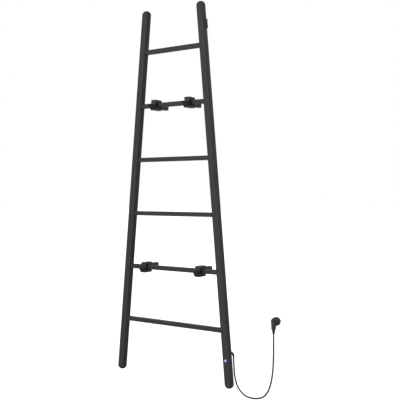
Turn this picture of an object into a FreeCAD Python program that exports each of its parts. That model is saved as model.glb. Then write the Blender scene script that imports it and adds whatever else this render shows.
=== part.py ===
import FreeCAD
import Part
import math
import os

# Wall-hung electric towel warmer: an A-shaped steel ladder on four adjustable wall brackets.
# Millimetres. +Z is up, the front faces -Y, and the wall is the plane y = 0.
# The origin is on the wall, midway between the two upper wall screws.

V = FreeCAD.Vector
X_AXIS = V(1, 0, 0)
Y_AXIS = V(0, 1, 0)
Z_AXIS = V(0, 0, 1)

# Ladder
RACK_Y = -78.0
TOP_Z = 445.0
BOTTOM_Z = -1247.0
TOP_HALF_SPACING = 150.0
BOTTOM_HALF_SPACING = 300.0
RAIL_SIZE = 31.0
RAIL_CORNER = 3.0
RAIL_WALL = 2.5
RUNG_SIZE = 20.0
RUNG_CORNER = 2.0
RUNG_WALL = 1.5
RUNG_PITCH = 250.0
RUNG_COUNT = 6
FIRST_RUNG_Z = 250.0
FLOW_HOLE_R = 6.5

# End caps: the ball that rounds each one has the cap's height as its radius
CAP_HEIGHT = 21.0
CAP_PLUG_DEPTH = 8.0
CAP_PLUG_SIZE = 25.8

# Wall brackets, drawn about the rung's axis
CLAMP_WIDTH = 26.0
CLAMP_HALF_HEIGHT = 23.5
CLAMP_FRONT_Y = -25.0
CLAMP_PLATE = 5.0
CLAMP_REAR_Y = 23.5
CLAMP_MOUTH_REAR_Y = 11.5
CLAMP_MOUTH_HALF = 11.6
LIP_FRONT_Y = -45.0
LIP_TOP_Z = 2.5
LIP_ROOT_Z = -1.0
LIP_NOSE = 2.5
LIP_BASE_Y = -29.0
LINER_GAP = 0.3
STEM_HALF_X = 8.5
STEM_HALF_Z = 13.5
STEM_END_Y = 68.0
SLEEVE_HALF_X = 11.0
SLEEVE_HALF_Z = 16.0
SLEEVE_FRONT_Y = 32.0
SLEEVE_BASE = 4.0
SLEEVE_GAP = 0.35
WALL_HOLE_R = 2.75
CLAMP_SCREW_Z = 18.0
CLAMP_SCREW_R = 2.45
CLAMP_HEAD_R = 4.0
CLAMP_HEAD_DEPTH = 5.5
BRACKETS = {
    "ul": (-93.0, 0.0),
    "ur": (93.0, 0.0),
    "ll": (-151.0, -750.0),
    "lr": (151.0, -750.0),
}

# Control end of the right rail
BUTTON_Z = -1125.0
BUTTON_R = 7.0
BUTTON_BORE_R = 7.08
BEZEL_R = 10.0
BEZEL_SLEEVE_R = 8.2
CORD_EXIT_Z = -1097.0
BUSH_Z = -1062.0
HEATER_R = 5.0
HEATER_LENGTH = 720.0

# Sensor saddle near the top of the right rail
SENSOR_Z = 344.5
SENSOR_HEIGHT = 43.0
SENSOR_SIDE = 1.5
SENSOR_FRONT = 2.0
SENSOR_REAR = 20.0

# Cord and angled earthed plug
CORD_R = 3.5
PLUG_X = 498.0
PLUG_FACE_Y = -22.7
PLUG_Z = -944.0
PLUG_HEAD_R = 18.75
PLUG_INSERT = 12.0
PLUG_COVER_DEPTH = 17.0
PLUG_HANDLE_Y = -51.7
PLUG_HANDLE_HALF = 9.0
PLUG_HANDLE_TOP = -931.0
PLUG_HANDLE_BOTTOM = -973.5
PLUG_RELIEF_BOTTOM = -994.5
PIN_R = 2.4
PIN_LENGTH = 19.0
PIN_HALF_SPACING = 9.5
PIN_ROOT_R = 1.6
PIN_ROOT = 8.0
CORD_ROUTE = [
    V(286.9, -65.0, -1097.0),
    V(287.6, -25.0, -1099.0),
    V(290.0, -26.0, -1147.0),
    V(297.0, -32.0, -1202.0),
    V(315.0, -34.0, -1254.0),
    V(358.0, -38.0, -1283.0),
    V(418.0, -43.5, -1281.0),
    V(461.0, -47.5, -1258.0),
    V(484.0, -49.5, -1208.0),
    V(494.0, -50.6, -1152.0),
    V(497.4, -51.4, -1096.0),
    V(498.2, -51.7, -1040.0),
    V(498.0, -51.7, -988.5),
]
RUN_SHARE = 0.45

# Moulded boot where the cord leaves the rail
BOOT_FLANGE_R = 8.0
BOOT_FLANGE = 2.0
BOOT_NECK_R = 5.8
BOOT_NECK = 3.0
BOOT_ROOT_R = 6.6
BOOT_BEND_R = 5.4
BOOT_TIP_R = 4.3
BOOT_TIP = 4.0
CORD_HOLE_R = 6.0


def save(shape, node):
    """Write one node, and say if its solid is not sound."""
    if not shape.isValid() or shape.Volume <= 0:
        print("UNSOUND", node)
    shape.exportStep("parts/" + node + ".step")
    print(node, round(shape.Volume, 1))


def box(x0, x1, y0, y1, z0, z1):
    return Part.makeBox(x1 - x0, y1 - y0, z1 - z0, V(x0, y0, z0))


def rod(radius, length, start, direction):
    return Part.makeCylinder(radius, length, start, direction)


def rounded_outline(half_a, half_b, corner):
    """A closed rounded rectangle about the origin of the XY plane."""
    a = half_a - corner
    b = half_b - corner
    diagonal = corner * math.sqrt(0.5)
    centres = [(a, -b), (a, b), (-a, b), (-a, -b)]
    edges = []
    points = []
    for number, (cx, cy) in enumerate(centres):
        start = math.radians(-90.0 + 90.0 * number)
        begin = V(cx + corner * math.cos(start), cy + corner * math.sin(start), 0)
        middle = V(cx + math.copysign(diagonal, cx), cy + math.copysign(diagonal, cy), 0)
        finish = start + math.pi / 2
        end = V(cx + corner * math.cos(finish), cy + corner * math.sin(finish), 0)
        points.append((begin, middle, end))
    for number, (begin, middle, end) in enumerate(points):
        edges.append(Part.Arc(begin, middle, end).toShape())
        following = points[(number + 1) % 4][0]
        edges.append(Part.makeLine(end, following))
    return Part.Face(Part.Wire(edges))


def rail_x(side, z):
    """X of a rail's centre line at height z; side is -1 for left and 1 for right."""
    share = (TOP_Z - z) / (TOP_Z - BOTTOM_Z)
    return side * (TOP_HALF_SPACING + share * (BOTTOM_HALF_SPACING - TOP_HALF_SPACING))


def rail_prism(side, z0, z1, half, corner):
    """A leaning prism with the rail's section between two heights."""
    face = rounded_outline(half, half, corner)
    face.translate(V(rail_x(side, z0), RACK_Y, z0))
    return face.extrude(V(rail_x(side, z1) - rail_x(side, z0), 0, z1 - z0))


def lean_in_rail(shape, side, z):
    """Turn a shape drawn upright about the origin so it follows the rail's axis at height z."""
    slope = (BOTTOM_HALF_SPACING - TOP_HALF_SPACING) / (TOP_Z - BOTTOM_Z)
    turned = shape.copy()
    turned.rotate(V(0, 0, 0), Y_AXIS, -side * math.degrees(math.atan(slope)))
    turned.translate(V(rail_x(side, z), RACK_Y, z))
    return turned


def rung_heights():
    return [FIRST_RUNG_Z - RUNG_PITCH * number for number in range(RUNG_COUNT)]


# Ladder

def make_rail(side):
    half = RAIL_SIZE / 2
    z0 = BOTTOM_Z + CAP_HEIGHT
    z1 = TOP_Z - CAP_HEIGHT
    rail = rail_prism(side, z0, z1, half, RAIL_CORNER)
    hollow = rail_prism(side, z0 - 1, z1 + 1, half - RAIL_WALL, RAIL_CORNER - RAIL_WALL)
    rail = rail.cut(hollow)
    for z in rung_heights():
        hole = rod(FLOW_HOLE_R, RAIL_SIZE, V(rail_x(side, z), RACK_Y, z), X_AXIS * -side)
        rail = rail.cut(hole)
    return rail


def cut_control_holes(rail):
    front = V(rail_x(1, BUTTON_Z), RACK_Y - RAIL_SIZE, BUTTON_Z)
    rail = rail.cut(rod(BEZEL_SLEEVE_R, RAIL_SIZE, front, Y_AXIS))
    rear = V(rail_x(1, CORD_EXIT_Z), RACK_Y, CORD_EXIT_Z)
    return rail.cut(rod(CORD_HOLE_R, RAIL_SIZE, rear, Y_AXIS))


def make_rung(z):
    reach = rail_x(1, z)
    outer = rounded_outline(RUNG_SIZE / 2, RUNG_SIZE / 2, RUNG_CORNER)
    inner_half = RUNG_SIZE / 2 - RUNG_WALL
    inner = rounded_outline(inner_half, inner_half, RUNG_CORNER - RUNG_WALL)
    ring = outer.cut(inner)
    ring.rotate(V(0, 0, 0), Y_AXIS, 90)
    ring.translate(V(-reach, RACK_Y, z))
    rung = ring.extrude(V(2 * reach, 0, 0))
    for side in (-1, 1):
        blank = rail_prism(side, z - 40, z + 40, RAIL_SIZE / 2, RAIL_CORNER)
        rung = rung.cut(blank)
    return rung


def make_cap(side, up):
    """Square end piece cut to part of a ball, with a plug that fits inside the rail."""
    if up:
        z0, z1, seat = TOP_Z - CAP_HEIGHT, TOP_Z, TOP_Z - CAP_HEIGHT
        plug_z0, plug_z1 = seat - CAP_PLUG_DEPTH, seat + 1
    else:
        z0, z1, seat = BOTTOM_Z, BOTTOM_Z + CAP_HEIGHT, BOTTOM_Z + CAP_HEIGHT
        plug_z0, plug_z1 = seat - 1, seat + CAP_PLUG_DEPTH
    cap = rail_prism(side, z0, z1, RAIL_SIZE / 2, RAIL_CORNER)
    ball = Part.makeSphere(CAP_HEIGHT, V(rail_x(side, seat), RACK_Y, seat))
    cap = cap.common(ball)
    plug = rail_prism(side, plug_z0, plug_z1, CAP_PLUG_SIZE / 2, 1.0)
    return cap.fuse(plug).removeSplitter()


# Wall brackets

def place_bracket(shape, where):
    moved = shape.copy()
    moved.translate(V(where[0], RACK_Y, where[1]))
    return moved


def profile_bar(points, half_width):
    """Extrude a side profile of (y, z) points along X, centred."""
    wire = Part.makePolygon([V(-half_width, y, z) for y, z in points + points[:1]])
    return Part.Face(wire).extrude(V(2 * half_width, 0, 0))


def make_clamp_front():
    half = CLAMP_WIDTH / 2
    plate_rear = CLAMP_FRONT_Y + CLAMP_PLATE
    side_view = [
        (plate_rear, CLAMP_HALF_HEIGHT),
        (CLAMP_FRONT_Y + 1.5, CLAMP_HALF_HEIGHT),
        (CLAMP_FRONT_Y, CLAMP_HALF_HEIGHT - 1.5),
        (CLAMP_FRONT_Y, LIP_ROOT_Z),
        (LIP_FRONT_Y + 1.5, LIP_TOP_Z),
        (LIP_FRONT_Y, LIP_TOP_Z - 1.5),
        (LIP_FRONT_Y, LIP_TOP_Z - LIP_NOSE),
        (LIP_BASE_Y, -CLAMP_HALF_HEIGHT),
        (plate_rear, -CLAMP_HALF_HEIGHT),
    ]
    front = profile_bar(side_view, half)
    for z in (-CLAMP_SCREW_Z, CLAMP_SCREW_Z):
        front = front.cut(rod(CLAMP_SCREW_R, 4.0, V(0, plate_rear, z), -Y_AXIS))
    return front


def make_clamp_rear():
    half = CLAMP_WIDTH / 2
    plate_rear = CLAMP_FRONT_Y + CLAMP_PLATE
    jaw = box(-half, half, plate_rear, CLAMP_REAR_Y, -CLAMP_HALF_HEIGHT, CLAMP_HALF_HEIGHT)
    upright = [edge for edge in jaw.Edges
               if abs(edge.tangentAt(edge.FirstParameter).z) > 0.9
               and edge.CenterOfMass.y > 0]
    jaw = jaw.makeFillet(2.0, upright)
    mouth = box(-half - 1, half + 1, plate_rear - 1, CLAMP_MOUTH_REAR_Y,
                -CLAMP_MOUTH_HALF, CLAMP_MOUTH_HALF)
    jaw = jaw.cut(mouth)
    for z in (-CLAMP_SCREW_Z, CLAMP_SCREW_Z):
        jaw = jaw.cut(rod(CLAMP_SCREW_R + 0.2, 60, V(0, plate_rear - 1, z), Y_AXIS))
        head_bore = V(0, CLAMP_REAR_Y - CLAMP_HEAD_DEPTH, z)
        jaw = jaw.cut(rod(CLAMP_HEAD_R + 0.2, 10, head_bore, Y_AXIS))
    return jaw


def make_clamp_screws():
    screws = []
    for z in (-CLAMP_SCREW_Z, CLAMP_SCREW_Z):
        tip = CLAMP_FRONT_Y + CLAMP_PLATE - 3.9
        head_y = CLAMP_REAR_Y - CLAMP_HEAD_DEPTH
        shank = rod(CLAMP_SCREW_R, head_y - tip + 1, V(0, tip, z), Y_AXIS)
        head = rod(CLAMP_HEAD_R, 5.0, V(0, head_y, z), Y_AXIS)
        socket = rod(2.3, 3.0, V(0, head_y + 2.5, z), Y_AXIS)
        screws.append(shank.fuse(head).cut(socket).removeSplitter())
    return Part.makeCompound(screws)


def make_clamp_liner():
    """Rubber channel round the rung, and the pressure pad in front of it."""
    rung_half = RUNG_SIZE / 2
    inside = rung_half + LINER_GAP
    channel = box(-12, 12, -9.8, CLAMP_MOUTH_REAR_Y, -CLAMP_MOUTH_HALF, CLAMP_MOUTH_HALF)
    channel = channel.cut(box(-13, 13, -10, inside, -inside, inside))
    pad = box(-9.5, 9.5, CLAMP_FRONT_Y + CLAMP_PLATE, -inside, -9, 9)
    return Part.makeCompound([channel, pad])


def make_stem():
    stem = box(-STEM_HALF_X, STEM_HALF_X, CLAMP_REAR_Y, STEM_END_Y, -STEM_HALF_Z, STEM_HALF_Z)
    along = [edge for edge in stem.Edges if abs(edge.tangentAt(edge.FirstParameter).y) > 0.9]
    stem = stem.makeFillet(1.0, along)
    hollow = box(-STEM_HALF_X + 2.5, STEM_HALF_X - 2.5, CLAMP_REAR_Y + 6, STEM_END_Y + 1,
                 -STEM_HALF_Z + 2.5, STEM_HALF_Z - 2.5)
    return stem.cut(hollow)


def make_wall_sleeve():
    wall_y = -RACK_Y
    sleeve = box(-SLEEVE_HALF_X, SLEEVE_HALF_X, SLEEVE_FRONT_Y, wall_y,
                 -SLEEVE_HALF_Z, SLEEVE_HALF_Z)
    along = [edge for edge in sleeve.Edges if abs(edge.tangentAt(edge.FirstParameter).y) > 0.9]
    sleeve = sleeve.makeFillet(2.0, along)
    inside_x = STEM_HALF_X + SLEEVE_GAP
    inside_z = STEM_HALF_Z + SLEEVE_GAP
    sleeve = sleeve.cut(box(-inside_x, inside_x, SLEEVE_FRONT_Y - 1, wall_y - SLEEVE_BASE,
                            -inside_z, inside_z))
    sleeve = sleeve.cut(rod(WALL_HOLE_R, 20, V(0, wall_y - 10, 0), Y_AXIS))
    return sleeve.cut(rod(2.5, 10, V(0, SLEEVE_FRONT_Y + 10, -SLEEVE_HALF_Z - 1), Z_AXIS)
                      .common(box(-5, 5, SLEEVE_FRONT_Y, wall_y, -SLEEVE_HALF_Z - 1, -inside_z)))


def make_grub_screw():
    start = V(0, SLEEVE_FRONT_Y + 10, -SLEEVE_HALF_Z + 0.1)
    grub = rod(2.45, SLEEVE_HALF_Z - STEM_HALF_Z - SLEEVE_GAP - 0.1, start, Z_AXIS)
    return grub.cut(rod(1.2, 1.0, start - Z_AXIS * 0.1, Z_AXIS))


# Control end of the right rail

def front_point(z, out=0.0):
    """A point on the right rail's front face, a distance out in front of it."""
    return V(rail_x(1, z), RACK_Y - RAIL_SIZE / 2 - out, z)


def make_bezel():
    flange = rod(BEZEL_R, 1.6, front_point(BUTTON_Z, 1.6), Y_AXIS)
    rim = [edge for edge in flange.Edges
           if edge.CenterOfMass.y < RACK_Y - RAIL_SIZE / 2 - 1 and edge.Length > 10]
    flange = flange.makeFillet(1.0, rim[:1])
    sleeve = rod(BEZEL_SLEEVE_R, 6.0, front_point(BUTTON_Z), Y_AXIS)
    bore = rod(BUTTON_BORE_R, 20, front_point(BUTTON_Z, 6), Y_AXIS)
    return flange.fuse(sleeve).cut(bore).removeSplitter()


def make_button():
    head = rod(BUTTON_R, 8.7, front_point(BUTTON_Z, 2.4), Y_AXIS)
    edge = [rim for rim in head.Edges if rim.CenterOfMass.y < RACK_Y - RAIL_SIZE / 2 - 2]
    head = head.makeFillet(0.6, edge[:1])
    collar = rod(BUTTON_R + 0.8, 1.2, front_point(BUTTON_Z, -6.3), Y_AXIS)
    plunger = rod(1.6, 3.0, front_point(BUTTON_Z, -7.0), Y_AXIS)
    return head.fuse(collar).fuse(plunger).removeSplitter()


def make_switch():
    body = box(-3.5, 3.5, 0, 3.0, -3.5, 3.5)
    knob = rod(1.6, 1.2, V(0, -1.2, 0), Y_AXIS)
    switch = body.fuse(knob).removeSplitter()
    switch.translate(V(rail_x(1, BUTTON_Z), RACK_Y - 2.0, BUTTON_Z))
    return switch


def make_board():
    board = box(-10.5, 10.5, 1.0, 2.6, -40, 44)
    return lean_in_rail(board, 1, BUTTON_Z)


def make_carrier():
    """Moulded chassis that holds the board and slides in from below."""
    spine = box(-12.2, 12.2, 2.6, 4.6, -86, 44)
    foot = box(-12.2, 12.2, -12.2, 12.2, -90, -86)
    left = box(-12.2, -10.6, -9, 2.6, -86, 44)
    right = box(10.6, 12.2, -9, 2.6, -86, 44)
    carrier = spine.fuse([foot, left, right])
    window = rod(6.5, 30, V(0, 0, 28), Y_AXIS)
    carrier = carrier.cut(window).removeSplitter()
    return lean_in_rail(carrier, 1, BUTTON_Z)


def make_terminals():
    block = box(-8, 8, -8.5, 0.9, 10, 40)
    block = block.cut(box(-9, 9, -9, -2, 20, 30))
    return lean_in_rail(block, 1, BUTTON_Z)


def make_bush():
    bush = box(-12.7, 12.7, -12.7, 12.7, -6, 8)
    bore = rod(HEATER_R, 60, V(0, 0, -30), Z_AXIS)
    groove = box(-14, 14, -14, 14, 1, 3.4).cut(box(-11, 11, -11, 11, 0, 4))
    return lean_in_rail(bush.cut(bore).cut(groove), 1, BUSH_Z)


def make_bush_seal():
    ring = rounded_outline(12.9, 12.9, 1.5).extrude(Z_AXIS * 2.4)
    ring.translate(Z_AXIS * 1.0)
    return lean_in_rail(ring.cut(box(-11, 11, -11, 11, 0, 4)), 1, BUSH_Z)


def make_heater():
    heater = rod(HEATER_R, HEATER_LENGTH, V(0, 0, -10), Z_AXIS)
    return lean_in_rail(heater, 1, BUSH_Z)


def make_sensor_housing():
    half = RAIL_SIZE / 2
    outer_half = half + SENSOR_SIDE
    height = SENSOR_HEIGHT / 2
    saddle = box(-outer_half, outer_half, SENSOR_FRONT, SENSOR_REAR, -height, height)
    saddle = saddle.makeFillet(1.0, [edge for edge in saddle.Edges
                                     if edge.CenterOfMass.y > SENSOR_REAR - 0.1])
    saddle = saddle.cut(box(-half, half, 0, half, -height - 1, height + 1))
    for number in range(5):
        z = -12.0 + 6.0 * number
        saddle = saddle.cut(box(-8, 8, SENSOR_REAR - 1.2, SENSOR_REAR + 1, z - 1, z + 1))
    return lean_in_rail(saddle, 1, SENSOR_Z)


# Cord and plug

def route_bend(before, corner, after):
    """Start, middle, end and radius of the arc that rounds one corner of a route."""
    run_in = corner - before
    run_out = after - corner
    turn = run_in.getAngle(run_out)
    trim = RUN_SHARE * min(run_in.Length, run_out.Length)
    radius = trim / math.tan(turn / 2)
    unit_in = run_in / run_in.Length
    unit_out = run_out / run_out.Length
    inward = unit_out - unit_in
    inward = inward / inward.Length
    middle = corner + inward * (radius / math.cos(turn / 2) - radius)
    return corner - unit_in * trim, middle, corner + unit_out * trim, radius


def make_cord(route):
    """Straight runs joined by tangent arcs, swept with a round section."""
    edges = []
    cursor = route[0]
    for before, corner, after in zip(route, route[1:], route[2:]):
        begin, middle, end, radius = route_bend(before, corner, after)
        print("bend radius", round(radius, 1))
        edges.append(Part.makeLine(cursor, begin))
        edges.append(Part.Arc(begin, middle, end).toShape())
        cursor = end
    edges.append(Part.makeLine(cursor, route[-1]))
    path = Part.Wire(edges)
    start_direction = route[1] - route[0]
    ring = Part.Wire(Part.makeCircle(CORD_R, route[0], start_direction))
    cord = path.makePipeShell([ring], True, True)
    print("cord length", round(path.Length, 1))
    print("cord volume over section times length",
          round(cord.Volume / (math.pi * CORD_R ** 2 * path.Length), 4))
    return cord


def make_strain_relief(route, cord):
    """Tapered elbow boot that follows the cord's first bend out of the rail."""
    start = V(rail_x(1, CORD_EXIT_Z), RACK_Y + RAIL_SIZE / 2, CORD_EXIT_Z)
    begin, middle, end, radius = route_bend(route[0], route[1], route[2])
    along = (route[1] - route[0]).normalize()
    down = (route[2] - route[1]).normalize()
    axis = along.cross(down).normalize()
    centre = begin + axis.cross(along) * radius
    turn = math.degrees(along.getAngle(down))
    flange = rod(BOOT_FLANGE_R, BOOT_FLANGE, start, Y_AXIS)
    neck = rod(BOOT_NECK_R, BOOT_NECK + 1, start - Y_AXIS * BOOT_NECK, Y_AXIS)
    root = start + Y_AXIS * 1.0
    straight = Part.makeCone(BOOT_ROOT_R, BOOT_BEND_R, (begin - root).Length, root, begin - root)
    section = Part.Face(Part.Wire(Part.makeCircle(BOOT_BEND_R, begin, along)))
    bend = section.revolve(centre, axis, turn)
    tip = Part.makeCone(BOOT_BEND_R, BOOT_TIP_R, BOOT_TIP, end, down)
    boot = flange.fuse([neck, straight, bend, tip])
    return boot.cut(cord).removeSplitter()


def plug_point(y=PLUG_FACE_Y, dz=0.0):
    return V(PLUG_X, y, PLUG_Z + dz)


def make_plug_insert():
    start = plug_point(PLUG_FACE_Y - PLUG_INSERT)
    insert = rod(PLUG_HEAD_R, PLUG_INSERT, start, Y_AXIS)
    for side in (-1, 1):
        root = plug_point(PLUG_FACE_Y - PIN_ROOT) + X_AXIS * (side * PIN_HALF_SPACING)
        insert = insert.cut(rod(PIN_ROOT_R, 20, root, Y_AXIS))
    return insert.cut(make_plug_clips())


def make_plug_pins():
    pins = []
    for side in (-1, 1):
        start = plug_point() + X_AXIS * (side * PIN_HALF_SPACING)
        pin = rod(PIN_R, PIN_LENGTH, start, Y_AXIS)
        tip = [edge for edge in pin.Edges if edge.CenterOfMass.y > PLUG_FACE_Y + PIN_LENGTH - 0.1]
        pin = pin.makeFillet(1.2, tip[:1])
        root = rod(PIN_ROOT_R, PIN_ROOT, start - Y_AXIS * PIN_ROOT, Y_AXIS)
        pins.append(pin.fuse(root).removeSplitter())
    return Part.makeCompound(pins)


def make_plug_clips():
    clips = []
    for side in (-1, 1):
        z = PLUG_Z + side * (PLUG_HEAD_R - 0.6)
        clips.append(box(PLUG_X - 3, PLUG_X + 3, PLUG_FACE_Y - 11, PLUG_FACE_Y + 0.2,
                         z - 0.6, z + 0.6))
    return Part.makeCompound(clips)


def make_plug_body():
    """Cover that tapers from the round insert to a handle pointing down."""
    seam_y = PLUG_FACE_Y - PLUG_INSERT
    cover = Part.makeCone(12.0, PLUG_HEAD_R, PLUG_COVER_DEPTH,
                          plug_point(seam_y - PLUG_COVER_DEPTH), Y_AXIS)
    handle = box(PLUG_X - PLUG_HANDLE_HALF, PLUG_X + PLUG_HANDLE_HALF,
                 PLUG_HANDLE_Y - PLUG_HANDLE_HALF, PLUG_HANDLE_Y + PLUG_HANDLE_HALF,
                 PLUG_HANDLE_BOTTOM, PLUG_HANDLE_TOP)
    rounded = [edge for edge in handle.Edges if edge.CenterOfMass.z > PLUG_HANDLE_BOTTOM + 1]
    handle = handle.makeFillet(5.0, rounded)
    body = cover.fuse(handle).removeSplitter()
    return body.cut(box(PLUG_X - 30, PLUG_X + 30, seam_y, seam_y + 30, PLUG_Z - 60, PLUG_Z + 60))


def make_plug_relief(cord):
    """Tapered sleeve below the handle, with the cord's own shape as its bore."""
    start = V(PLUG_X, PLUG_HANDLE_Y, PLUG_RELIEF_BOTTOM)
    height = PLUG_HANDLE_BOTTOM - PLUG_RELIEF_BOTTOM
    relief = Part.makeCone(4.4, 8.0, height, start, Z_AXIS)
    return relief.cut(cord)


os.makedirs("parts", exist_ok=True)

save(make_rail(-1), "rail_left")
save(cut_control_holes(make_rail(1)), "rail_right")
for number, z in enumerate(rung_heights()):
    save(make_rung(z), "rung_%d" % (number + 1))
for side, side_word in ((-1, "left"), (1, "right")):
    save(make_cap(side, True), "cap_top_" + side_word)
    save(make_cap(side, False), "cap_bottom_" + side_word)

bracket_parts = {
    "clamp_front": make_clamp_front(),
    "clamp_rear": make_clamp_rear(),
    "clamp_screws": make_clamp_screws(),
    "clamp_liner": make_clamp_liner(),
    "stem": make_stem(),
    "wall_sleeve": make_wall_sleeve(),
    "grub_screw": make_grub_screw(),
}
for corner_name, where in BRACKETS.items():
    for part_name, shape in bracket_parts.items():
        save(place_bracket(shape, where), part_name + "_" + corner_name)

save(make_bezel(), "button_bezel")
save(make_button(), "button_cap")
save(make_switch(), "button_switch")
save(make_board(), "control_board")
save(make_carrier(), "control_carrier")
save(make_terminals(), "terminal_block")
save(make_bush(), "heater_bush")
save(make_bush_seal(), "bush_seal")
save(make_heater(), "heater_rod")
save(make_sensor_housing(), "sensor_housing")
cord = make_cord(CORD_ROUTE)
save(cord, "cord")
save(make_strain_relief(CORD_ROUTE, cord), "strain_relief")
save(make_plug_insert(), "plug_insert")
save(make_plug_pins(), "plug_pins")
save(make_plug_clips(), "plug_earth_clips")
save(make_plug_body(), "plug_body")
save(make_plug_relief(cord), "plug_strain_relief")
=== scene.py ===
import math

import bmesh
import bpy
from mathutils import Matrix, Vector


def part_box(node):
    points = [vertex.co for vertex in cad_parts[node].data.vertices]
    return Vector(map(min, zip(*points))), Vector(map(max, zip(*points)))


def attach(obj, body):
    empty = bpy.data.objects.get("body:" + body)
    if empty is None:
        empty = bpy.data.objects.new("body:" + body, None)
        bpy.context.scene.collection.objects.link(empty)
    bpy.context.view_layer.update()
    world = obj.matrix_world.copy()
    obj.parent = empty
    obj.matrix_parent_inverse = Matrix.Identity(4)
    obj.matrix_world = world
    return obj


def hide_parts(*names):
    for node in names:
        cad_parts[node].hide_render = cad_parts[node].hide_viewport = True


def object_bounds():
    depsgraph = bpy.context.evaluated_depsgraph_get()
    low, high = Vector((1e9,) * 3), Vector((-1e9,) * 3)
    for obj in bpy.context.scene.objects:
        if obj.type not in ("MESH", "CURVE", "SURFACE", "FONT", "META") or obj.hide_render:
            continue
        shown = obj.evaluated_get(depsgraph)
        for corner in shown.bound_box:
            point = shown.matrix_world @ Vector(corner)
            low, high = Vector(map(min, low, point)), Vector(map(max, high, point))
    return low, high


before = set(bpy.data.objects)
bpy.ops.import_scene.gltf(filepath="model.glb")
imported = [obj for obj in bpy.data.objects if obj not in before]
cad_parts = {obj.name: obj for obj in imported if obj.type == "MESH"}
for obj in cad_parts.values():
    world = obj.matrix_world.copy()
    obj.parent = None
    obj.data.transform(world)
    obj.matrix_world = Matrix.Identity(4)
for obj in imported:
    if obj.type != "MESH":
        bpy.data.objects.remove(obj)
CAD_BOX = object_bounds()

# Wall-hung electric towel warmer: a black A-shaped ladder on four wall brackets.
# Metres. +Z is up, the front faces -Y, and the wall is the plane y = 0.

MM = 0.001

# Cord: corners of its route in millimetres, and its round section
CORD_ROUTE = [
    (286.9, -65.0, -1097.0),
    (287.6, -25.0, -1099.0),
    (290.0, -26.0, -1147.0),
    (297.0, -32.0, -1202.0),
    (315.0, -34.0, -1254.0),
    (358.0, -38.0, -1283.0),
    (418.0, -43.5, -1281.0),
    (461.0, -47.5, -1258.0),
    (484.0, -49.5, -1208.0),
    (494.0, -50.6, -1152.0),
    (497.4, -51.4, -1096.0),
    (498.2, -51.7, -1040.0),
    (498.0, -51.7, -988.5),
]
CORD_RADIUS = 3.5 * MM

# Boot where the cord leaves the rail
BOOT_START = 2.5 * MM
BOOT_LENGTH = 50.0 * MM
BOOT_FLANGE_RADIUS = 8.0 * MM
BOOT_FLANGE_DEPTH = 2.0 * MM
BOOT_FLANGE_ROUND = 0.8 * MM
BOOT_ROOT_RADIUS = 6.6
BOOT_TAPER = 2.2
BOOT_PLAIN = 7.0 * MM
BOOT_RIB_PITCH = 4.0 * MM
BOOT_GROOVE_WIDTH = 1.4 * MM
BOOT_GROOVE_DEPTH = 0.8 * MM
RING_STEP = 0.5 * MM

# Plug: sleeve below the grip, the grip itself, and the turned cover
SLEEVE_TIP_RADIUS = 4.3
SLEEVE_TAPER = 3.6
SLEEVE_RIB_PITCH = 3.6 * MM
SLEEVE_GROOVE_WIDTH = 1.3 * MM
SLEEVE_GROOVE_DEPTH = 0.75 * MM
GRIP_HALF = 9.0 * MM
GRIP_CORNER = 5.0 * MM
GRIP_DOME = 6.0 * MM
GRIP_TOP_BELOW = 5.75 * MM
GRIP_GROOVE_PITCH = 3.6 * MM
GRIP_GROOVE_DEPTH = 0.35 * MM
COVER_DEPTH = 19.0 * MM
COVER_SKIN = 0.55 * MM

# Weld fillets where the rungs meet the rails
RAIL_HALF = 15.5 * MM
RUNG_HALF = 10.0 * MM
RUNG_CORNER = 2.0 * MM
WELD_SIZE = 2.2 * MM
WELD_RIPPLE = 0.14
WELD_RIPPLE_PITCH = 1.6 * MM

# Studio
CAMERA_PLACE = (1.7772, -2.5434, -0.4014)
CAMERA_TURN = 33.47
CAMERA_LENS = 60.05
CAMERA_SHIFT_Y = -0.0194
FLOOR_BELOW = 0.16
FLOOR_RADIUS = 40.0


# Materials

def new_material(name):
    material = bpy.data.materials.new(name)
    material.use_nodes = True
    shader = material.node_tree.nodes["Principled BSDF"]
    return material, material.node_tree, shader


def add_node(tree, kind, values=None, **settings):
    """Add a shader node, set its properties, and fill its named input sockets."""
    node = tree.nodes.new(kind)
    for key, value in settings.items():
        setattr(node, key, value)
    for key, value in (values or {}).items():
        node.inputs[key].default_value = value
    return node


def noise(tree, scale, detail=4.0, stretch=(1.0, 1.0, 1.0)):
    """Noise fixed to the piece; scale is in cycles per metre. Returns the grey output."""
    place = add_node(tree, "ShaderNodeTexCoord")
    mapping = add_node(tree, "ShaderNodeMapping", {"Scale": stretch})
    grain = add_node(tree, "ShaderNodeTexNoise", {"Scale": scale, "Detail": detail})
    tree.links.new(place.outputs["Object"], mapping.inputs["Vector"])
    tree.links.new(mapping.outputs["Vector"], grain.inputs["Vector"])
    return grain.outputs["Fac"]


def ranged(tree, source, low, high, start=0.3, stop=0.7):
    span = add_node(tree, "ShaderNodeMapRange", {
        "From Min": start, "From Max": stop, "To Min": low, "To Max": high})
    tree.links.new(source, span.inputs["Value"])
    return span.outputs["Result"]


def tinted(tree, source, dark, light):
    """Blend two colours by a grey value."""
    mix = add_node(tree, "ShaderNodeMix", data_type="RGBA")
    mix.inputs["A"].default_value = (*dark, 1.0)
    mix.inputs["B"].default_value = (*light, 1.0)
    tree.links.new(source, mix.inputs["Factor"])
    return mix.outputs["Result"]


def bumped(tree, shader, height, strength, depth):
    bump = add_node(tree, "ShaderNodeBump", {"Strength": strength, "Distance": depth})
    tree.links.new(height, bump.inputs["Height"])
    tree.links.new(bump.outputs["Normal"], shader.inputs["Normal"])


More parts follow.
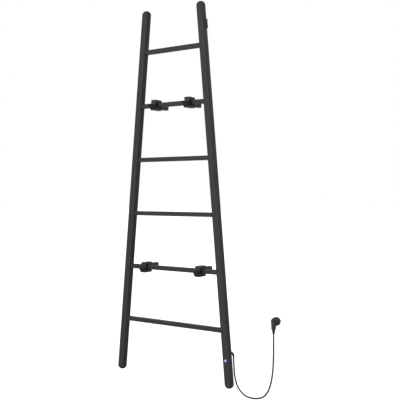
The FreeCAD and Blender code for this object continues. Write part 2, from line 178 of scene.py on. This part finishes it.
def edge_mask(tree, radius, scuff_scale):
    """Grey value near 1 on sharp outer edges, broken up by scuffs."""
    soft = add_node(tree, "ShaderNodeBevel", {"Radius": radius}, samples=4)
    true = add_node(tree, "ShaderNodeNewGeometry")
    dot = add_node(tree, "ShaderNodeVectorMath", operation="DOT_PRODUCT")
    tree.links.new(soft.outputs["Normal"], dot.inputs[0])
    tree.links.new(true.outputs["True Normal"], dot.inputs[1])
    edge = ranged(tree, dot.outputs["Value"], 1.0, 0.0, start=0.82, stop=0.99)
    scuff = ranged(tree, noise(tree, scuff_scale, 6.0), 0.0, 1.0, start=0.50, stop=0.66)
    both = add_node(tree, "ShaderNodeMath", operation="MULTIPLY")
    tree.links.new(edge, both.inputs[0])
    tree.links.new(scuff, both.inputs[1])
    return both.outputs["Value"]


def surface(name, dark, light, rough, patch=30.0, grain=1000.0, relief=0.04 * MM,
            strength=0.35, spread=0.06, metallic=0.0, specular=0.5, worn=None):
    """A surface with drifting colour and gloss, a fine grain, and optional worn edges."""
    material, tree, shader = new_material(name)
    drift = ranged(tree, noise(tree, patch), 0.0, 1.0)
    colour = tinted(tree, drift, dark, light)
    if worn:
        mix = add_node(tree, "ShaderNodeMix", data_type="RGBA")
        mix.inputs["B"].default_value = (*worn, 1.0)
        tree.links.new(edge_mask(tree, 0.8 * MM, 160.0), mix.inputs["Factor"])
        tree.links.new(colour, mix.inputs["A"])
        colour = mix.outputs["Result"]
    tree.links.new(colour, shader.inputs["Base Color"])
    gloss = ranged(tree, noise(tree, patch * 4.0, 5.0), rough - spread, rough + spread)
    tree.links.new(gloss, shader.inputs["Roughness"])
    bumped(tree, shader, noise(tree, grain, 2.0), strength, relief)
    shader.inputs["Metallic"].default_value = metallic
    shader.inputs["Specular IOR Level"].default_value = specular
    return material


def powder_coat():
    """Fine-textured matt black powder coat on the tubes and their end caps."""
    return surface("powder_coat", (0.0155, 0.0155, 0.016), (0.0175, 0.0175, 0.018), 0.55,
                   patch=22.0, grain=1300.0, relief=0.06 * MM, strength=0.45, spread=0.02,
                   worn=(0.030, 0.030, 0.031))


def bracket_paint():
    return surface("bracket_paint", (0.011, 0.011, 0.0115), (0.017, 0.017, 0.0175), 0.48,
                   patch=60.0, grain=1700.0, relief=0.04 * MM, worn=(0.030, 0.030, 0.031))


def zinc_steel():
    return surface("zinc_steel", (0.42, 0.43, 0.45), (0.58, 0.59, 0.60), 0.34,
                   patch=260.0, grain=2200.0, relief=0.02 * MM, metallic=1.0)


def nickel():
    return surface("nickel", (0.62, 0.60, 0.55), (0.72, 0.70, 0.66), 0.22,
                   patch=220.0, grain=1500.0, relief=0.01 * MM, metallic=1.0)


def rubber(name, shade):
    return surface(name, (shade, shade, shade), (shade * 1.5, shade * 1.5, shade * 1.5),
                   0.72, patch=90.0, grain=1400.0, relief=0.05 * MM, specular=0.3)


def moulded_black(name, shade, rough):
    """Spark-eroded plastic: a close pebble grain over a barely uneven black."""
    return surface(name, (shade, shade, shade * 1.03), (shade * 1.35, shade * 1.35, shade * 1.4),
                   rough, patch=70.0, grain=2400.0, relief=0.05 * MM, strength=0.4)


def brass():
    return surface("brass", (0.50, 0.36, 0.14), (0.66, 0.49, 0.22), 0.30,
                   patch=140.0, grain=900.0, relief=0.02 * MM, metallic=1.0)


def heater_sheath():
    """Drawn stainless tube with fine lines along its length."""
    material, tree, shader = new_material("heater_sheath")
    lines = noise(tree, 900.0, 3.0, stretch=(1.0, 1.0, 0.02))
    tree.links.new(tinted(tree, lines, (0.40, 0.38, 0.35), (0.60, 0.58, 0.54)),
                   shader.inputs["Base Color"])
    tree.links.new(ranged(tree, lines, 0.24, 0.42), shader.inputs["Roughness"])
    bumped(tree, shader, lines, 0.3, 0.02 * MM)
    shader.inputs["Metallic"].default_value = 1.0
    return material


def circuit_green():
    """Solder mask over copper tracks."""
    material, tree, shader = new_material("circuit_green")
    place = add_node(tree, "ShaderNodeTexCoord")
    tracks = add_node(tree, "ShaderNodeTexBrick", {
        "Scale": 90.0, "Mortar Size": 0.06,
        "Color1": (0.010, 0.085, 0.035, 1.0),
        "Color2": (0.012, 0.105, 0.042, 1.0),
        "Mortar": (0.030, 0.200, 0.080, 1.0)})
    turn = add_node(tree, "ShaderNodeMapping", {"Rotation": (math.radians(90.0), 0.0, 0.0)})
    tree.links.new(place.outputs["Object"], turn.inputs["Vector"])
    tree.links.new(turn.outputs["Vector"], tracks.inputs["Vector"])
    tree.links.new(tracks.outputs["Color"], shader.inputs["Base Color"])
    tree.links.new(ranged(tree, noise(tree, 120.0), 0.25, 0.4), shader.inputs["Roughness"])
    bumped(tree, shader, tracks.outputs["Fac"], 0.4, 0.05 * MM)
    return material


def carrier_plastic():
    return surface("carrier_plastic", (0.34, 0.35, 0.36), (0.42, 0.43, 0.44), 0.5,
                   patch=80.0, grain=1800.0, relief=0.04 * MM)


def lit_button():
    """Blue-lit cap: brightest in the middle and fading to navy at its rim."""
    material, tree, shader = new_material("lit_button")
    low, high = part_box("button_cap")
    centre = (low + high) / 2
    place = add_node(tree, "ShaderNodeTexCoord")
    offset = add_node(tree, "ShaderNodeVectorMath", operation="SUBTRACT")
    offset.inputs[1].default_value = (centre.x, 0.0, centre.z)
    flat = add_node(tree, "ShaderNodeVectorMath", operation="MULTIPLY")
    flat.inputs[1].default_value = (1.0, 0.0, 1.0)
    reach = add_node(tree, "ShaderNodeVectorMath", operation="LENGTH")
    tree.links.new(place.outputs["Object"], offset.inputs[0])
    tree.links.new(offset.outputs["Vector"], flat.inputs[0])
    tree.links.new(flat.outputs["Vector"], reach.inputs[0])
    glow = ranged(tree, reach.outputs["Value"], 1.0, 0.0, start=4.2 * MM, stop=6.8 * MM)
    drift = noise(tree, 500.0, 3.0)
    tree.links.new(tinted(tree, drift, (0.015, 0.025, 0.075), (0.022, 0.034, 0.095)),
                   shader.inputs["Base Color"])
    tree.links.new(tinted(tree, glow, (0.010, 0.022, 0.090), (0.40, 0.47, 0.80)),
                   shader.inputs["Emission Color"])
    shader.inputs["Emission Strength"].default_value = 1.0
    tree.links.new(ranged(tree, drift, 0.22, 0.30), shader.inputs["Roughness"])
    bumped(tree, shader, drift, 0.15, 0.02 * MM)
    return material


def bezel_painted_blue_glow():
    """Gloss black ring whose navy base colour is painted blue glow from the button."""
    # navy tint below is painted light: the button's blue glow on the ring, not the ring's own colour
    return surface("bezel_painted_blue_glow", (0.010, 0.014, 0.032), (0.014, 0.019, 0.044), 0.26,
                   patch=200.0, grain=2000.0, relief=0.02 * MM)


def cord_jacket():
    return surface("cord_jacket", (0.012, 0.012, 0.012), (0.019, 0.019, 0.019), 0.50,
                   patch=60.0, grain=900.0, relief=0.05 * MM, specular=0.45)


def paint_nodes(looks):
    """Give each carried-over node the material of its sub-part."""
    for node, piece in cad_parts.items():
        material = next(look for start, look in looks if node.startswith(start))
        for place in range(len(piece.material_slots)):
            piece.material_slots[place].material = material


# Mesh helpers

def mesh_piece(name, points, faces, material, smooth=True):
    mesh = bpy.data.meshes.new(name)
    mesh.from_pydata(points, [], faces)
    mesh.validate()
    work = bmesh.new()
    work.from_mesh(mesh)
    bmesh.ops.recalc_face_normals(work, faces=work.faces)
    work.to_mesh(mesh)
    work.free()
    for face in mesh.polygons:
        face.use_smooth = smooth
    mesh.materials.append(material)
    piece = bpy.data.objects.new(name, mesh)
    bpy.context.scene.collection.objects.link(piece)
    return piece


def ring_faces(rings, around, closed):
    """Quads between rings of points; closed joins the last ring to the first."""
    faces = []
    for ring in range(rings if closed else rings - 1):
        following = (ring + 1) % rings
        for spot in range(around):
            beside = (spot + 1) % around
            faces.append((ring * around + spot, ring * around + beside,
                          following * around + beside, following * around + spot))
    return faces


def frames_along(path):
    """Position and two side directions at each point of a path, without twist."""
    frames = []
    side = None
    for place, point in enumerate(path):
        ahead = path[min(place + 1, len(path) - 1)] - path[max(place - 1, 0)]
        ahead.normalize()
        if side is None:
            side = ahead.orthogonal().normalized()
        side = (side - ahead * side.dot(ahead)).normalized()
        frames.append((point, side, ahead.cross(side)))
    return frames


def turned_tube(name, path, radii, material, around=32):
    """A closed tube along a path, with its own radius at each point."""
    points = []
    for (centre, side, up), radius in zip(frames_along(path), radii):
        for spot in range(around):
            angle = 2 * math.pi * spot / around
            points.append(centre + side * (radius * math.cos(angle)) + up * (radius * math.sin(angle)))
    faces = ring_faces(len(path), around, closed=False)
    faces.append(tuple(range(around)))
    faces.append(tuple(range(len(points) - around, len(points))))
    return mesh_piece(name, points, faces, material)


# Ladder details

def rounded_square(half, corner, per_corner=5, per_side=12):
    """Points and outward directions round a rounded square in a plane."""
    outline = []
    inner = half - corner
    for quarter in range(4):
        turn = Matrix.Rotation(math.radians(90.0 * quarter), 2)
        for step in range(per_side):
            along = -inner + 2 * inner * step / per_side
            outline.append((turn @ Vector((half, along)), turn @ Vector((1.0, 0.0))))
        for step in range(per_corner):
            angle = math.radians(90.0 * step / per_corner)
            away = Vector((math.cos(angle), math.sin(angle)))
            outline.append((turn @ (Vector((inner, inner)) + away * corner), turn @ away))
    return outline


def weld_fillet(name, rung, side, material):
    """Rippled concave bead round one end of a rung, against the leaning rail."""
    low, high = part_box(rung)
    centre_y = (low.y + high.y) / 2
    centre_z = (low.z + high.z) / 2
    rail_low, rail_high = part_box("rail_left" if side < 0 else "rail_right")
    lean = (rail_high.x - rail_low.x - 2 * RAIL_HALF) / (rail_high.z - rail_low.z)
    middle_z = (rail_low.z + rail_high.z) / 2
    middle_x = (rail_low.x + rail_high.x) / 2 - side * RAIL_HALF
    steps = 5
    buried = 0.3 * MM
    points = []
    outline = rounded_square(RUNG_HALF, RUNG_CORNER)
    travelled = 0.0
    before = outline[-1][0]
    for spot, away in outline:
        travelled += (spot - before).length
        before = spot
        size = WELD_SIZE * (1 + WELD_RIPPLE * math.sin(2 * math.pi * travelled / WELD_RIPPLE_PITCH))
        profile = [(-buried, size), (-buried, -buried), (size, -buried)]
        for step in range(steps + 1):
            angle = math.radians(90.0 * step / steps)
            profile.append((size - size * math.sin(angle), size - size * math.cos(angle)))
        for out, along in profile:
            y = centre_y + spot.x + away.x * out
            z = centre_z + spot.y + away.y * out
            face_x = middle_x - side * lean * (z - middle_z)
            points.append(Vector((face_x - side * along, y, z)))
    around = steps + 4
    piece = mesh_piece(name, points, ring_faces(len(outline), around, closed=True), material)
    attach(piece, "rack")


def make_welds(material):
    for number in range(1, 7):
        for side, word in ((-1, "left"), (1, "right")):
            weld_fillet("weld_%d_%s" % (number, word), "rung_%d" % number, side, material)


def soften_edges(names, width):
    """Round the sharp edges of machined and cast pieces a little."""
    for name in names:
        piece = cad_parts[name]
        weld = piece.modifiers.new("join_faces", "WELD")
        weld.merge_threshold = 0.005 * MM
        bevel = piece.modifiers.new("round_edges", "BEVEL")
        bevel.width = width
        bevel.segments = 2
        bevel.limit_method = "ANGLE"
        bevel.angle_limit = math.radians(35.0)
        bevel.harden_normals = True
        piece.modifiers.new("even_normals", "WEIGHTED_NORMAL")


# Cord and plug

def make_cord(material):
    """One smooth spline through the hanging loop, thick as the mains lead."""
    curve = bpy.data.curves.new("mains_cord", "CURVE")
    curve.dimensions = "3D"
    curve.resolution_u = 24
    curve.bevel_depth = CORD_RADIUS
    curve.bevel_resolution = 6
    curve.use_fill_caps = True
    spline = curve.splines.new("NURBS")
    spline.points.add(len(CORD_ROUTE) - 1)
    for spot, (x, y, z) in zip(spline.points, CORD_ROUTE):
        spot.co = (x * MM, y * MM, z * MM, 1.0)
    spline.order_u = 3
    spline.use_endpoint_u = True
    curve.materials.append(material)
    cord = bpy.data.objects.new("mains_cord", curve)
    bpy.context.scene.collection.objects.link(cord)
    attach(cord, "rack")
    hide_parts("cord")
    return cord


def cord_line(cord):
    """Points along the cord's own centre line."""
    line = cord.data.copy()
    line.bevel_depth = 0.0
    line.use_fill_caps = False
    ghost = bpy.data.objects.new("cord_line", line)
    mesh = bpy.data.meshes.new_from_object(ghost)
    points = [spot.co.copy() for spot in mesh.vertices]
    bpy.data.objects.remove(ghost)
    bpy.data.curves.remove(line)
    bpy.data.meshes.remove(mesh)
    return points


def stretch_of(points, start, stop, step):
    """Evenly spaced points between two distances along a line of points."""
    found = []
    travelled = 0.0
    target = start
    for before, after in zip(points, points[1:]):
        length = (after - before).length
        while length > 0 and target <= min(stop, travelled + length) + 1e-9:
            found.append(before.lerp(after, (target - travelled) / length))
            target += step
        travelled += length
    return found


def make_cord_boot(line, material):
    """Ribbed boot that follows the cord's bend out of the rail and tapers onto it."""
    path = stretch_of(line, BOOT_START, BOOT_START + BOOT_LENGTH, RING_STEP)
    radii = []
    for place in range(len(path)):
        travelled = place * RING_STEP
        share = travelled / BOOT_LENGTH
        if travelled < BOOT_FLANGE_DEPTH:
            radius = BOOT_FLANGE_RADIUS - BOOT_FLANGE_ROUND * (travelled / BOOT_FLANGE_DEPTH) ** 4
        else:
            radius = (BOOT_ROOT_RADIUS - BOOT_TAPER * share) * MM
            if travelled > BOOT_PLAIN and (travelled % BOOT_RIB_PITCH) < BOOT_GROOVE_WIDTH:
                radius -= BOOT_GROOVE_DEPTH * (1 - 0.4 * share)
        radii.append(radius)
    radii[-1] = CORD_RADIUS + 0.15 * MM
    boot = turned_tube("cord_boot", path, radii, material)
    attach(boot, "rack")
    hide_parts("strain_relief")


def make_plug_sleeve(material):
    """Ribbed sleeve where the cord enters the plug's handle."""
    low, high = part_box("plug_strain_relief")
    height = high.z - low.z
    count = int(height / RING_STEP) + 1
    axis = Vector(((low.x + high.x) / 2, (low.y + high.y) / 2, 0.0))
    path = []
    radii = []
    for place in range(count):
        share = place / (count - 1)
        path.append(axis + Vector((0.0, 0.0, low.z + height * place / (count - 1))))
        radius = (SLEEVE_TIP_RADIUS + SLEEVE_TAPER * share) * MM
        if 0.12 < share < 0.85 and (place * RING_STEP) % SLEEVE_RIB_PITCH < SLEEVE_GROOVE_WIDTH:
            radius -= SLEEVE_GROOVE_DEPTH
        radii.append(radius)
    radii[0] = CORD_RADIUS + 0.2 * MM
    sleeve = turned_tube("plug_sleeve", path, radii, material)
    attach(sleeve, "rack")
    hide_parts("plug_strain_relief")
    return sleeve


def lathe(profile, centre, around=64):
    """Points and faces of a closed form turned about the Y axis; profile is (y, radius)."""
    points = []
    for y, radius in profile:
        for spot in range(around):
            angle = 2 * math.pi * spot / around
            points.append(Vector((centre.x + radius * math.cos(angle), y,
                                  centre.z + radius * math.sin(angle))))
    faces = ring_faces(len(profile), around, closed=False)
    faces.append(tuple(range(around)))
    faces.append(tuple(range(len(points) - around, len(points))))
    return points, faces


def handle_form(centre_x, centre_y, bottom, top):
    """Points and faces of the plug's grip: a rounded bar with shallow finger grooves."""
    outline = rounded_square(GRIP_HALF, GRIP_CORNER, per_corner=6, per_side=4)
    levels = 80
    points = []
    for level in range(levels):
        z = bottom + (top - bottom) * level / (levels - 1)
        share = (z - bottom) / (top - bottom)
        rise = min(max(0.0, z - (top - GRIP_DOME)) / GRIP_DOME, 0.98)
        swell = (1.0 - 0.08 * (1 - min(share / 0.2, 1.0)) ** 2) * math.sqrt(1 - 0.75 * rise ** 2)
        groove = 0.0
        if 0.10 < share < 0.42:
            wave = math.sin((z - bottom) / GRIP_GROOVE_PITCH * 2 * math.pi)
            groove = GRIP_GROOVE_DEPTH * max(0.0, wave)
        for spot, away in outline:
            flat = spot * swell - away * groove
            points.append(Vector((centre_x + flat.x, centre_y + flat.y, z)))
    faces = ring_faces(levels, len(outline), closed=False)
    faces.append(tuple(range(len(outline))))
    faces.append(tuple(range(len(points) - len(outline), len(points))))
    return points, faces


def make_plug_cover(material):
    """Moulded cover: the turned head and the grip melted into one smooth form."""
    body_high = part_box("plug_body")[1]
    insert_low, insert_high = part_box("plug_insert")
    relief_low, relief_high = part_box("plug_strain_relief")
    centre = (insert_low + insert_high) / 2
    seam = insert_low.y
    rim = (insert_high.x - insert_low.x) / 2
    front = seam - COVER_DEPTH
    profile = [(front, 0.5 * MM)]
    for step in range(13):
        angle = math.radians(90.0 * step / 12)
        radius = (rim - 0.1 * MM) * (0.52 + 0.48 * math.sin(angle) ** 1.4)
        profile.append((front + COVER_DEPTH * 0.92 * (1 - math.cos(angle)), radius))
    profile.append((seam, rim - 0.1 * MM))
    head_points, head_faces = lathe(profile, centre)
    grip_y = (relief_low.y + relief_high.y) / 2
    grip_top = body_high.z - GRIP_TOP_BELOW
    grip_points, grip_faces = handle_form(centre.x, grip_y, relief_high.z, grip_top)
    shift = len(head_points)
    faces = head_faces + [tuple(spot + shift for spot in face) for face in grip_faces]
    cover = mesh_piece("plug_cover", head_points + grip_points, faces, material)
    remesh = cover.modifiers.new("one_skin", "REMESH")
    remesh.mode = "VOXEL"
    remesh.voxel_size = COVER_SKIN
    remesh.use_smooth_shade = True
    smooth = cover.modifiers.new("melt", "SMOOTH")
    smooth.factor = 0.5
    smooth.iterations = 5
    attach(cover, "rack")
    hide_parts("plug_body")
    return cover


# Studio

def make_camera():
    data = bpy.data.cameras.new("camera")
    data.lens = CAMERA_LENS
    data.sensor_width = 36.0
    data.shift_y = CAMERA_SHIFT_Y
    camera = bpy.data.objects.new("camera", data)
    camera.location = CAMERA_PLACE
    camera.rotation_euler = (math.radians(90.0), 0.0, math.radians(CAMERA_TURN))
    bpy.context.scene.collection.objects.link(camera)
    bpy.context.scene.camera = camera


def make_floor():
    """Plain pale floor below the rack; it is seen but throws no light back up."""
    material, tree, shader = new_material("pale_floor")
    shader.inputs["Base Color"].default_value = (0.86, 0.86, 0.86, 1.0)
    shader.inputs["Roughness"].default_value = 0.9
    shader.inputs["Emission Color"].default_value = (1.0, 1.0, 1.0, 1.0)
    shader.inputs["Emission Strength"].default_value = 0.75
    z = CAD_BOX[0].z - FLOOR_BELOW
    around = 96
    points = []
    for spot in range(around):
        angle = 2 * math.pi * spot / around
        points.append((FLOOR_RADIUS * math.cos(angle), FLOOR_RADIUS * math.sin(angle), z))
    floor = mesh_piece("floor", points, [tuple(range(around))], material, smooth=False)
    floor.visible_diffuse = False
    floor.visible_glossy = False


def make_world():
    """White surroundings that shine on the rack more softly than they look."""
    world = bpy.data.worlds.new("studio")
    world.use_nodes = True
    tree = world.node_tree
    soft = tree.nodes["Background"]
    soft.inputs["Color"].default_value = (1.0, 1.0, 1.0, 1.0)
    soft.inputs["Strength"].default_value = 0.27
    white = add_node(tree, "ShaderNodeBackground", {"Color": (1.0, 1.0, 1.0, 1.0), "Strength": 1.0})
    seen = add_node(tree, "ShaderNodeLightPath")
    mix = add_node(tree, "ShaderNodeMixShader")
    tree.links.new(seen.outputs["Is Camera Ray"], mix.inputs["Fac"])
    tree.links.new(soft.outputs["Background"], mix.inputs[1])
    tree.links.new(white.outputs["Background"], mix.inputs[2])
    tree.links.new(mix.outputs["Shader"], tree.nodes["World Output"].inputs["Surface"])
    bpy.context.scene.world = world


def broad_light(name, heading, strength, spread):
    """Even light from one side of the sky, as soft as a large window."""
    data = bpy.data.lights.new(name, "SUN")
    data.energy = strength
    data.angle = math.radians(spread)
    light = bpy.data.objects.new(name, data)
    light.rotation_euler = Vector(heading).to_track_quat("-Z", "Y").to_euler()
    bpy.context.scene.collection.objects.link(light)


def make_lights():
    broad_light("key", (0.10, 0.95, -0.22), 2.1, 70.0)
    broad_light("fill", (-1.00, 0.35, -0.15), 0.8, 90.0)
    broad_light("back", (0.30, -0.90, -0.30), 1.4, 90.0)


def main():
    coat = powder_coat()
    bracket = bracket_paint()
    plug_plastic = moulded_black("plug_plastic", 0.016, 0.5)
    looks = [
        ("rail", coat),
        ("rung", coat),
        ("cap", coat),
        ("clamp_front", bracket),
        ("clamp_rear", bracket),
        ("clamp_screws", zinc_steel()),
        # near-black liner is partly a real rubber pad, partly painted shadow filling the shade gap
        # between front plate and rung
        ("clamp_liner", rubber("liner_rubber", 0.010)),
        ("stem", bracket),
        ("wall_sleeve", bracket),
        ("grub_screw", bpy.data.materials["zinc_steel"]),
        ("button_bezel", bezel_painted_blue_glow()),
        ("button_cap", lit_button()),
        ("button_switch", moulded_black("switch_plastic", 0.012, 0.4)),
        ("control_board", circuit_green()),
        ("control_carrier", carrier_plastic()),
        ("terminal_block", bpy.data.materials["carrier_plastic"]),
        ("heater_bush", brass()),
        ("bush_seal", rubber("seal_rubber", 0.014)),
        ("heater_rod", heater_sheath()),
        ("sensor_housing", moulded_black("sensor_plastic", 0.012, 0.5)),
        ("strain_relief", plug_plastic),
        ("cord", plug_plastic),
        ("plug_pins", nickel()),
        ("plug_earth", bpy.data.materials["nickel"]),
        ("plug", plug_plastic),
    ]
    paint_nodes(looks)
    make_welds(coat)
    brackets = [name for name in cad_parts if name.startswith(("clamp_front", "clamp_rear"))]
    soften_edges(brackets, 0.7 * MM)
    cord = make_cord(cord_jacket())
    line = cord_line(cord)
    make_cord_boot(line, plug_plastic)
    sleeve = make_plug_sleeve(plug_plastic)
    cover = make_plug_cover(plug_plastic)
    make_camera()
    make_floor()
    make_world()
    make_lights()
    bpy.context.scene.view_settings.view_transform = "Standard"


main()
